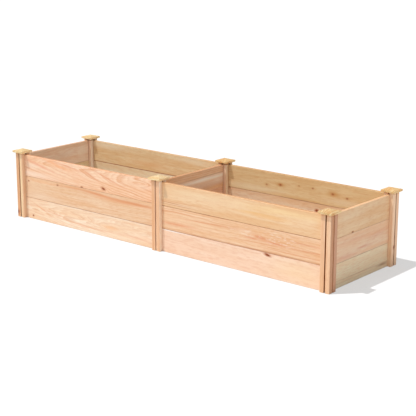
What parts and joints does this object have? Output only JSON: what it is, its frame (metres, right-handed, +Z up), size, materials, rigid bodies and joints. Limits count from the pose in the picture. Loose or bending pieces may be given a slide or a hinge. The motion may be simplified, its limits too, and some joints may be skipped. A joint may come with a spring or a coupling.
{
  "type": "raised garden bed",
  "caption": "Long, low cedar raised garden bed in two open bays, with walls of stacked boards between grooved square posts under bevelled caps that lift off.",
  "frame": {"origin": "on the ground under the centre of the bed's footprint", "axes": "+X along the bed to the right, +Y from the front to the rear, +Z up"},
  "size_m": [2.491, 0.711, 0.4548],
  "materials": {
    "cedar_blush": "planed, unfinished cedar",
    "cedar_tan": "planed, unfinished cedar",
    "cedar_straw": "planed, unfinished cedar",
    "cedar_salmon": "planed, unfinished cedar",
    "cedar_golden": "planed, unfinished cedar",
    "cedar_russet": "planed, unfinished cedar",
    "cedar_post": "planed, unfinished cedar",
    "cedar_cap": "sawn and sanded, unfinished cedar",
    "hardwood_dowel": "turned, unfinished hardwood"
  },
  "bodies": {
    "bed": {"front_left_post": "cedar_post", "front_middle_post": "cedar_post", "front_right_post": "cedar_post", "rear_left_post": "cedar_post", "rear_middle_post": "cedar_post", "rear_right_post": "cedar_post", "front_left_lower_board": "cedar_blush", "front_left_middle_board": "cedar_tan", "front_left_upper_board": "cedar_blush", "front_right_lower_board": "cedar_blush", "front_right_middle_board": "cedar_salmon", "front_right_upper_board": "cedar_straw", "rear_left_lower_board": "cedar_golden", "rear_left_middle_board": "cedar_straw", "rear_left_upper_board": "cedar_golden", "rear_right_lower_board": "cedar_golden", "rear_right_middle_board": "cedar_straw", "rear_right_upper_board": "cedar_golden", "left_end_lower_board": "cedar_tan", "left_end_middle_board": "cedar_russet", "left_end_upper_board": "cedar_tan", "divider_lower_board": "cedar_tan", "divider_middle_board": "cedar_russet", "divider_upper_board": "cedar_russet", "right_end_lower_board": "cedar_tan", "right_end_middle_board": "cedar_salmon", "right_end_upper_board": "cedar_straw"},
    "front_left_lid": {"front_left_cap": "cedar_cap", "front_left_dowel": "hardwood_dowel"},
    "front_middle_lid": {"front_middle_cap": "cedar_cap", "front_middle_dowel": "hardwood_dowel"},
    "front_right_lid": {"front_right_cap": "cedar_cap", "front_right_dowel": "hardwood_dowel"},
    "rear_left_lid": {"rear_left_cap": "cedar_cap", "rear_left_dowel": "hardwood_dowel"},
    "rear_middle_lid": {"rear_middle_cap": "cedar_cap", "rear_middle_dowel": "hardwood_dowel"},
    "rear_right_lid": {"rear_right_cap": "cedar_cap", "rear_right_dowel": "hardwood_dowel"}
  },
  "joints": [
    {"name": "front_left_cap_lift", "type": "slide", "parent": "bed", "child": "front_left_lid", "axis": [0, 0, 1], "range_m": [0, 0.05]},
    {"name": "front_middle_cap_lift", "type": "slide", "parent": "bed", "child": "front_middle_lid", "axis": [0, 0, 1], "range_m": [0, 0.05]},
    {"name": "front_right_cap_lift", "type": "slide", "parent": "bed", "child": "front_right_lid", "axis": [0, 0, 1], "range_m": [0, 0.05]},
    {"name": "rear_left_cap_lift", "type": "slide", "parent": "bed", "child": "rear_left_lid", "axis": [0, 0, 1], "range_m": [0, 0.05]},
    {"name": "rear_middle_cap_lift", "type": "slide", "parent": "bed", "child": "rear_middle_lid", "axis": [0, 0, 1], "range_m": [0, 0.05]},
    {"name": "rear_right_cap_lift", "type": "slide", "parent": "bed", "child": "rear_right_lid", "axis": [0, 0, 1], "range_m": [0, 0.05]}
  ]
}
